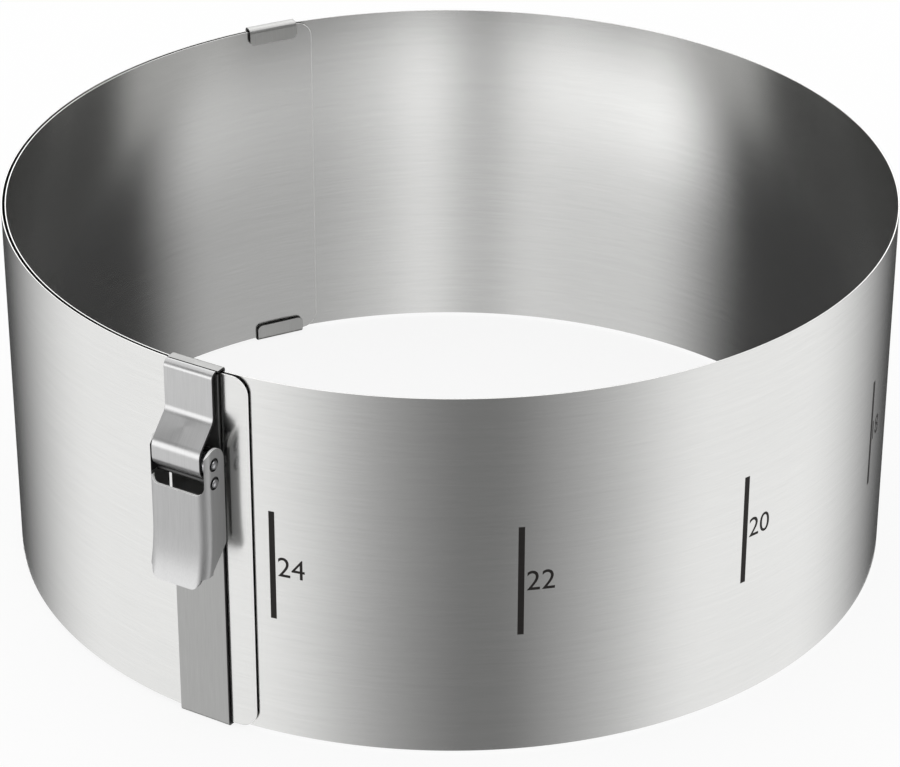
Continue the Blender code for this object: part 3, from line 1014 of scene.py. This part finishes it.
class CAKERING_OT_band(bpy.types.Operator):
    """Model the strip as lengths rolled onto its spiral, each from the middle of one section to the middle
    of the next
    """

    bl_idname = "cakering.band"
    bl_label = "Band"

    def execute(self, context):
        band_end("band_outer_half", 1, 0, -1, (BAND_CORNER, 0), (False, True))
        blank = strip_blank("band_length", SECTION_LENGTH, (0, 0), BAND_EDGE, (True, True))
        for number in range(1, SECTION_COUNT):
            length = copy_of(blank, f"band_length_{number:02d}")
            roll_up(length, middle_length(number))
            give(length, band_steel(), "band_steel")
            blend_along(length, number)
            if number > 1:
                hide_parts(band_node(number))
        remove(blank)
        last = middle_length(SECTION_COUNT)
        band_end("band_inner_half", SECTION_COUNT, last, 1, (0, BAND_CORNER), (True, False))
        return {"FINISHED"}


# The scale

def span(piece, axis):
    """How far a piece reaches along an axis of its mesh, as its low and its high end."""
    places = [vertex.co[axis] for vertex in piece.data.vertices]
    return min(places), max(places)


def mark_length(number):
    """Length of strip in one turn of a ring that is this many centimetres across."""
    return math.pi * (number / 100 - BAND_SHEET - LAYER_STEP)


def mark_number(number, look):
    """A scale number as a flat solid, standing on the strip's flat frame and read from outside."""
    bpy.ops.object.select_all(action="DESELECT")
    bpy.ops.object.text_add()
    text = bpy.context.object
    text.data.body = str(number)
    text.data.extrude = 1
    bpy.ops.object.convert(target="MESH")
    digits = bpy.context.object
    left, _ = span(digits, 0)
    low, high = span(digits, 1)
    scale = look.digit_height / (high - low)
    middle = (look.bar_low + look.bar_high) / 2
    for vertex in digits.data.vertices:
        x = (vertex.co.x - left) * scale * NUMBER_NARROW_SHARE
        z = (vertex.co.y - (low + high) / 2) * scale
        depth = math.copysign(MARK_RISE, vertex.co.z)
        vertex.co = (-(look.bar_width / 2 + NUMBER_GAP + x), BAND_SHEET / 2 + depth, middle + z)
    with editing(digits):
        bpy.ops.mesh.remove_doubles(threshold=CLOSE / 2)
        bpy.ops.mesh.normals_make_consistent(inside=False)
    return digits


def mark_bar(look):
    bpy.ops.object.select_all(action="DESELECT")
    bpy.ops.mesh.primitive_cube_add(size=1, location=(0, BAND_SHEET / 2, (look.bar_low + look.bar_high) / 2))
    return settled("scale_bar", (look.bar_width, 2 * MARK_RISE, look.bar_high - look.bar_low))


def cut_off(piece, at, keep_above):
    """Cuts a closed solid square across the strip and closes the cut."""
    with editing(piece):
        bpy.ops.mesh.bisect(
            plane_co=at * ALONG, plane_no=ALONG, use_fill=True,
            clear_inner=keep_above, clear_outer=not keep_above,
        )


class CAKERING_OT_scale(bpy.types.Operator):
    """Etch the scale: a bar and a number for each even diameter in centimetres"""

    bl_idname = "cakering.scale"
    bl_label = "Scale"

    def execute(self, context):
        look = context.scene.cake_ring_scale
        material = etched()
        for number in SCALE_NUMBERS:
            at = mark_length(number)
            mark = mark_number(number, look)
            bar = mark_bar(look)
            work_on(mark)
            bar.select_set(True)
            bpy.ops.object.join()
            mark.name = f"scale_{number}"
            low, high = span(mark, 0)
            step = look.bar_width / 2
            with editing(mark):
                score(low + step * cut for cut in range(1, math.ceil((high - low) / step)))
            first = math.floor((at + low) / SECTION_LENGTH + 0.5)
            last = math.floor((at + high) / SECTION_LENGTH + 0.5)
            for length in range(first, last + 1):
                part = copy_of(mark, f"scale_{number}_on_length_{length:02d}")
                if length > first:
                    cut_off(part, middle_length(length) - at, keep_above=True)
                if length < last:
                    cut_off(part, middle_length(length + 1) - at, keep_above=False)
                for polygon in part.data.polygons:
                    polygon.use_smooth = False
                form(part, strip_frame, at)
                give(part, material, "band_steel")
                blend_along(part, length)
            remove(mark)
        return {"FINISHED"}


# The clamp's bars, the strap and the guide

class CAKERING_OT_bars(bpy.types.Operator):
    """Model the clamp's outer bar, folded under the rim, and its inner bar, folded over it"""

    bl_idname = "cakering.bars"
    bl_label = "Clamp bars"

    def execute(self, context):
        stand = strip_frame(CLAMP_LENGTH)
        bottom = BAR_SHEET / 2
        outer = bent_sheet(
            "clamp_outer_bar",
            bent_line((
                (OUTER_BAR_OUT, RIM_HIGH, 0),
                (OUTER_BAR_OUT, bottom, BAR_FOLD_RADIUS),
                (BAR_LIP_OUT, bottom, BAR_FOLD_RADIUS),
                (BAR_LIP_OUT, BAR_LIP_HEIGHT, 0),
            )),
            BAR_WIDTH, BAR_SHEET, (0, BAR_LIP_CORNER), stand,
        )
        top = TOP - BAR_SHEET / 2
        inner = bent_sheet(
            "clamp_inner_bar",
            bent_line((
                (INNER_BAR_OUT, RIM_LOW, 0),
                (INNER_BAR_OUT, top, BAR_FOLD_RADIUS),
                (HOOK_END_OUT, top, 0),
            )),
            BAR_WIDTH, BAR_SHEET, (0, 0), stand,
        )
        for bar, node in ((outer, "outer_bar"), (inner, "inner_bar")):
            give(bar, bar_steel(), "bar_steel", cut_edges())
            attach(bar, "outer_end")
            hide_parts(node)
        return {"FINISHED"}


def strap_line():
    """Middle of the strap: over the rim, down its leg, out along its slope and round the curl."""
    top = TOP - STRAP_SHEET / 2
    curl = CURL_RADIUS - STRAP_SHEET / 2
    front = PIN_OUT + curl
    pin = Vector((PIN_OUT, PIN_PLACE.z))
    stations = bent_line((
        (HOOK_END_OUT + SEAT_GAP, top, 0),
        (STRAP_LEG_OUT, top, STRAP_TOP_BEND),
        (STRAP_LEG_OUT, pin.y + STRAP_SLOPE_START, STRAP_BEND),
        (front, pin.y + STRAP_SLOPE_END, STRAP_BEND),
        (front, pin.y, 0),
    ))
    start = stations[-1][0]
    for step in range(1, CURL_STEPS + 1):
        turn = -CURL_TURN * step / CURL_STEPS
        place = pin + curl * Vector((math.cos(turn), math.sin(turn)))
        heading = Vector((math.sin(turn), -math.cos(turn)))
        stations.append((start - curl * turn, place, heading))
    return stations


class CAKERING_OT_strap(bpy.types.Operator):
    """Model the spring strap with its slope and curl"""

    bl_idname = "cakering.strap"
    bl_label = "Strap"

    def execute(self, context):
        strap = bent_sheet(
            "clamp_strap", strap_line(), STRAP_WIDTH, STRAP_SHEET, (0, 0), strip_frame(CLAMP_LENGTH)
        )
        give(strap, strap_steel(), "lever_steel", cut_edges())
        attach(strap, "outer_end")
        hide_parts("spring_strap")
        return {"FINISHED"}


class CAKERING_OT_guide(bpy.types.Operator):
    """Model the guide bar with a flap over each rim"""

    bl_idname = "cakering.guide"
    bl_label = "Guide bar"

    def execute(self, context):
        low, high = GUIDE_SHEET / 2, TOP - GUIDE_SHEET / 2
        guide = bent_sheet(
            "sliding_guide_bar",
            bent_line((
                (GUIDE_FLAP_OUT, high - GUIDE_FLAP_HEIGHT, 0),
                (GUIDE_FLAP_OUT, high, GUIDE_FOLD_RADIUS),
                (GUIDE_BAR_OUT, high, GUIDE_FOLD_RADIUS),
                (GUIDE_BAR_OUT, low, GUIDE_FOLD_RADIUS),
                (GUIDE_FLAP_OUT, low, GUIDE_FOLD_RADIUS),
                (GUIDE_FLAP_OUT, low + GUIDE_FLAP_HEIGHT, 0),
            )),
            GUIDE_WIDTH, GUIDE_SHEET, (GUIDE_FLAP_CORNER, GUIDE_FLAP_CORNER), strip_frame(GUIDE_LENGTH),
        )
        give(guide, guide_steel(), "bar_steel", cut_edges())
        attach(guide, "inner_end")
        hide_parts("guide_bar")
        return {"FINISHED"}


# The lever and its rivets, modelled about the pin's axis and then stood on it

def pin_stand():
    """Frame on the pin: X along it, Y outwards, Z up."""
    stand = strip_frame(CLAMP_LENGTH)
    stand.translation = PIN_PLACE
    return stand


def stand_on_pin(piece):
    piece.data.transform(pin_stand())
    piece.data.update()


def tab_flare(height):
    """How far the lever's face has swung out at this height below the pin."""
    below = max(0.0, -height - TAB_FLARE_DROP) / (TAB_DROP - TAB_FLARE_DROP)
    return TAB_FLARE * below ** 2


def rounded_outline(corners):
    """Corners (x, y, radius) of a closed outline as points, with its round corners as arcs."""
    points = []
    for index, (x, y, radius) in enumerate(corners):
        here = Vector((x, y))
        if radius == 0:
            points.append(here)
            continue
        back = (Vector(corners[index - 1][:2]) - here).normalized()
        ahead = (Vector(corners[(index + 1) % len(corners)][:2]) - here).normalized()
        half_angle = back.angle(ahead) / 2
        centre = here + (back + ahead).normalized() * radius / math.sin(half_angle)
        reach_along = radius / math.tan(half_angle)
        first = here + back * reach_along - centre
        final = here + ahead * reach_along - centre
        start = math.atan2(first.y, first.x)
        sweep = (math.atan2(final.y, final.x) - start + math.pi) % math.tau - math.pi
        for step in range(CORNER_STEPS + 1):
            angle = start + sweep * step / CORNER_STEPS
            points.append(centre + radius * Vector((math.cos(angle), math.sin(angle))))
    return points


def round_outline(radius, height):
    """A circle at a height above the pin, as points."""
    turns = [math.tau * step / ROUND_STEPS for step in range(ROUND_STEPS)]
    return [(radius * math.cos(turn), height + radius * math.sin(turn)) for turn in turns]


def cut(piece, name, operation, outline, turn, depth=LEVER_WIDTH):
    """Cuts a piece with a solid of a flat outline, so deep both ways, turned to face its cut."""
    mesh = bpy.data.meshes.new(name)
    mesh.from_pydata([(x, y, -depth) for x, y in outline], [], [range(len(outline))])
    tool = bpy.data.objects.new(name, mesh)
    bpy.context.scene.collection.objects.link(tool)
    with editing(tool):
        bpy.ops.mesh.remove_doubles(threshold=CLOSE)
        bpy.ops.mesh.extrude_region_move(TRANSFORM_OT_translate={"value": (0, 0, 2 * depth)})
        bpy.ops.mesh.select_all(action="SELECT")
        bpy.ops.mesh.normals_make_consistent(inside=False)
    mesh.transform(turn)
    apply_modifier(piece, name, "BOOLEAN", object=tool, operation=operation, solver="EXACT")
    remove(tool)


def lever_side_outline():
    """The lever from the side: round ears, straight back edges that taper off at the tab."""
    front = WEB_FRONT + TAB_FLARE + CUTTER_MARGIN
    bottom = -TAB_DROP - CUTTER_MARGIN
    back = -EAR_RADIUS
    return rounded_outline((
        (back, EAR_RADIUS, EAR_RADIUS),
        (EAR_RADIUS, EAR_RADIUS, EAR_RADIUS),
        (EAR_RADIUS, -WEB_TOP_DROP / 2, 0),
        (front, -WEB_TOP_DROP / 2, 0),
        (front, bottom, 0),
        (FLANGE_END_DEPTH, bottom, 0),
        (FLANGE_END_DEPTH, -TAPER_END_DROP, TAPER_CORNER),
        (back, -TAPER_START_DROP, TAPER_CORNER),
    ))


def lever_front_outline():
    """The lever from the front: a finger tab below, and a round-cornered gap between the ears."""
    side = LEVER_WIDTH / 2 + CUTTER_MARGIN
    top = EAR_RADIUS + CUTTER_MARGIN
    tab = TAB_WIDTH / 2
    half = (
        (EAR_INSIDE, top, 0),
        (side, top, 0),
        (side, -TAPER_END_DROP, 0),
        (tab, -TAPER_END_DROP - TAB_SHOULDER, 0),
        (tab, -TAB_DROP, TAB_CORNER),
    )
    mirrored = tuple((-x, y, radius) for x, y, radius in reversed(half))
    gap = ((-EAR_INSIDE, -WEB_TOP_DROP, WEB_TOP_CORNER), (EAR_INSIDE, -WEB_TOP_DROP, WEB_TOP_CORNER))
    return rounded_outline(half + mirrored + gap)


def lever_channel():
    """The lever's sheet, folded to a channel and flared at the tab, before it is cut out."""
    half = LEVER_WIDTH / 2 - LEVER_SHEET / 2
    face = WEB_FRONT - LEVER_SHEET / 2
    back = -EAR_RADIUS - CUTTER_MARGIN / 2
    stations = bent_line((
        (-half, back, 0),
        (-half, face, LEVER_BEND),
        (half, face, LEVER_BEND),
        (half, back, 0),
    ))
    low, high = -TAB_DROP - CUTTER_MARGIN / 2, EAR_RADIUS + CUTTER_MARGIN / 2
    flare = TAB_DROP - TAB_FLARE_DROP
    lever = flat_blank("flip_lever", stations[-1][0], low, high)
    with editing(lever):
        score(station[0] for station in stations[1:-1])
        score((-TAB_FLARE_DROP - flare * step / FLARE_STEPS for step in range(FLARE_STEPS + 1)), UP)
    apply_modifier(lever, "wall", "SOLIDIFY", thickness=LEVER_SHEET, offset=0)
    for vertex in lever.data.vertices:
        place, heading = station_at(stations, vertex.co.x)
        across = Vector((-heading.y, heading.x))
        point = place + across * vertex.co.y
        vertex.co = (point.x, point.y + tab_flare(vertex.co.z), vertex.co.z)
    return lever


class CAKERING_OT_lever(bpy.types.Operator):
    """Model the flip lever: a channel with two ears and a finger tab"""

    bl_idname = "cakering.lever"
    bl_label = "Lever"

    def execute(self, context):
        lever = lever_channel()
        cut(lever, "side_shape", "INTERSECT", lever_side_outline(), FROM_SIDE)
        cut(lever, "front_shape", "INTERSECT", lever_front_outline(), FROM_FRONT)
        for height in (0, -PIN_SPACING):
            cut(lever, "hole", "DIFFERENCE", round_outline(PIN_RADIUS + RIVET_GAP, height), FROM_SIDE)
            dimple = round_outline(DIMPLE_RADIUS, height)
            for side in (1, -1):
                on_side = Matrix.Translation((side * LEVER_WIDTH / 2, 0, 0)) @ FROM_SIDE
                cut(lever, "dimple", "DIFFERENCE", dimple, on_side, DIMPLE_DEPTH)
        with editing(lever):
            bpy.ops.mesh.remove_doubles(threshold=CLOSE)
            bpy.ops.mesh.dissolve_limited(angle_limit=FLAT_ANGLE)
        soften(lever)
        smooth(lever)
        # Faces in the dimples round the rivets take the painted shade. Upward faces from the window's lower
        # edge up, the ears' round tops among them, take the painted highlight.
        for face in lever.data.polygons:
            x, y, z = face.center
            off_rivet = min(math.hypot(y, z), math.hypot(y, z + PIN_SPACING))
            gets_painted_shade = off_rivet < DIMPLE_RADIUS - CLOSE and abs(x) > LEVER_WIDTH / 2 - 2 * DIMPLE_DEPTH
            gets_painted_highlight = face.normal.z > UPPER_EDGE_SHARE and z > -WEB_TOP_DROP - SHEET_EDGE
            face.material_index = 1 if gets_painted_shade else 2 * gets_painted_highlight
        stand_on_pin(lever)
        give(lever, lever_steel(), "lever_steel", cut_edges(), ground_ends())
        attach(lever, "lever")
        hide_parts("clamp_lever")
        return {"FINISHED"}


def round_bar(name, radius, length, ends="NGON"):
    """A round bar or tube along X, about the origin."""
    bpy.ops.object.select_all(action="DESELECT")
    bpy.ops.mesh.primitive_cylinder_add(
        vertices=ROUND_STEPS, radius=radius, depth=length, end_fill_type=ends, rotation=(0, QUARTER_TURN, 0)
    )
    return settled(name)


def draw_out(centre, rise, factor):
    """Draws the chosen faces out along X and makes them wider or narrower."""
    bpy.ops.mesh.extrude_region_move(TRANSFORM_OT_translate={"value": (rise, 0, 0)})
    bpy.ops.transform.resize(value=(1, factor, factor), center_override=centre)


def make_rivet(name, height):
    """A rivet across the lever: a shank with a domed head drawn out of each end."""
    under_head = LEVER_WIDTH / 2 + RIVET_GAP
    rivet = round_bar(name, PIN_RADIUS, 2 * under_head)
    with editing(rivet):
        for side in (1, -1):
            centre = side * under_head * ALONG
            choose(rivet, "faces", lambda face: face.normal.x * side > SQUARE_ON_SHARE)
            draw_out(centre, 0, PIN_HEAD_RADIUS / PIN_RADIUS)
            for step in range(1, HEAD_STEPS + 1):
                before, after = (HEAD_ARC * each / HEAD_STEPS for each in (step - 1, step))
                rise = PIN_HEAD_HEIGHT * (math.sin(after) - math.sin(before))
                draw_out(centre, side * rise, math.cos(after) / math.cos(before))
    bpy.ops.object.shade_smooth_by_angle(angle=ROUND_SMOOTH_ANGLE)
    # The shank, under the heads and in the lever's dimples, takes the painted shade.
    for face in rivet.data.polygons:
        face.material_index = int(abs(face.center.x) < under_head - CLOSE)
    rivet.data.transform(Matrix.Translation((0, 0, height)))
    stand_on_pin(rivet)
    return rivet


class CAKERING_OT_rivets(bpy.types.Operator):
    """Model the two rivets and the bush that the strap curls round"""

    bl_idname = "cakering.rivets"
    bl_label = "Rivets"

    def execute(self, context):
        upper = make_rivet("upper_rivet", 0)
        lower = make_rivet("lower_rivet", -PIN_SPACING)
        bush = round_bar("curl_bush", BUSH_RADIUS, 2 * (EAR_INSIDE - SEAT_GAP), "NOTHING")
        apply_modifier(bush, "wall", "SOLIDIFY", thickness=BUSH_RADIUS - BUSH_BORE, offset=-1)
        soften(bush)
        bpy.ops.object.shade_smooth_by_angle(angle=ROUND_SMOOTH_ANGLE)
        stand_on_pin(bush)
        for piece, node in ((upper, "pivot_pin"), (lower, "lever_pin"), (bush, "pivot_bush")):
            give(piece, rivet_steel(), "rivet_steel", cut_edges())
            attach(piece, "lever")
            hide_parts(node)
        return {"FINISHED"}


class CAKERING_PT_panel(bpy.types.Panel):
    """The ring's pieces, in the order in which they are made"""

    bl_idname = "CAKERING_PT_panel"
    bl_label = "Cake Ring"
    bl_space_type = "VIEW_3D"
    bl_region_type = "UI"
    bl_category = "Cake Ring"

    def draw(self, context):
        layout = self.layout
        for look_name, _ in LOOKS:
            group = getattr(context.scene, look_name)
            box = layout.box()
            for name in group.bl_rna.properties.keys():
                if name not in ("rna_type", "name"):
                    box.prop(group, name)
        for operator in OPERATORS:
            layout.operator(operator.bl_idname)


LOOKS = (
    ("cake_ring_sheet", SheetLook),
    ("cake_ring_scale", ScaleLook),
    ("cake_ring_studio", StudioLook),
)

OPERATORS = (
    CAKERING_OT_stage,
    CAKERING_OT_band,
    CAKERING_OT_scale,
    CAKERING_OT_bars,
    CAKERING_OT_strap,
    CAKERING_OT_lever,
    CAKERING_OT_rivets,
    CAKERING_OT_guide,
)


def register():
    for name, look in LOOKS:
        bpy.utils.register_class(look)
        setattr(bpy.types.Scene, name, bpy.props.PointerProperty(type=look))
    for operator in OPERATORS:
        bpy.utils.register_class(operator)
    bpy.utils.register_class(CAKERING_PT_panel)


def unregister():
    bpy.utils.unregister_class(CAKERING_PT_panel)
    for operator in reversed(OPERATORS):
        bpy.utils.unregister_class(operator)
    for name, look in reversed(LOOKS):
        delattr(bpy.types.Scene, name)
        bpy.utils.unregister_class(look)


def main():
    register()
    bpy.ops.cakering.stage()
    bpy.ops.cakering.band()
    bpy.ops.cakering.scale()
    bpy.ops.cakering.bars()
    bpy.ops.cakering.strap()
    bpy.ops.cakering.lever()
    bpy.ops.cakering.rivets()
    bpy.ops.cakering.guide()


if __name__ == "__main__":
    main()
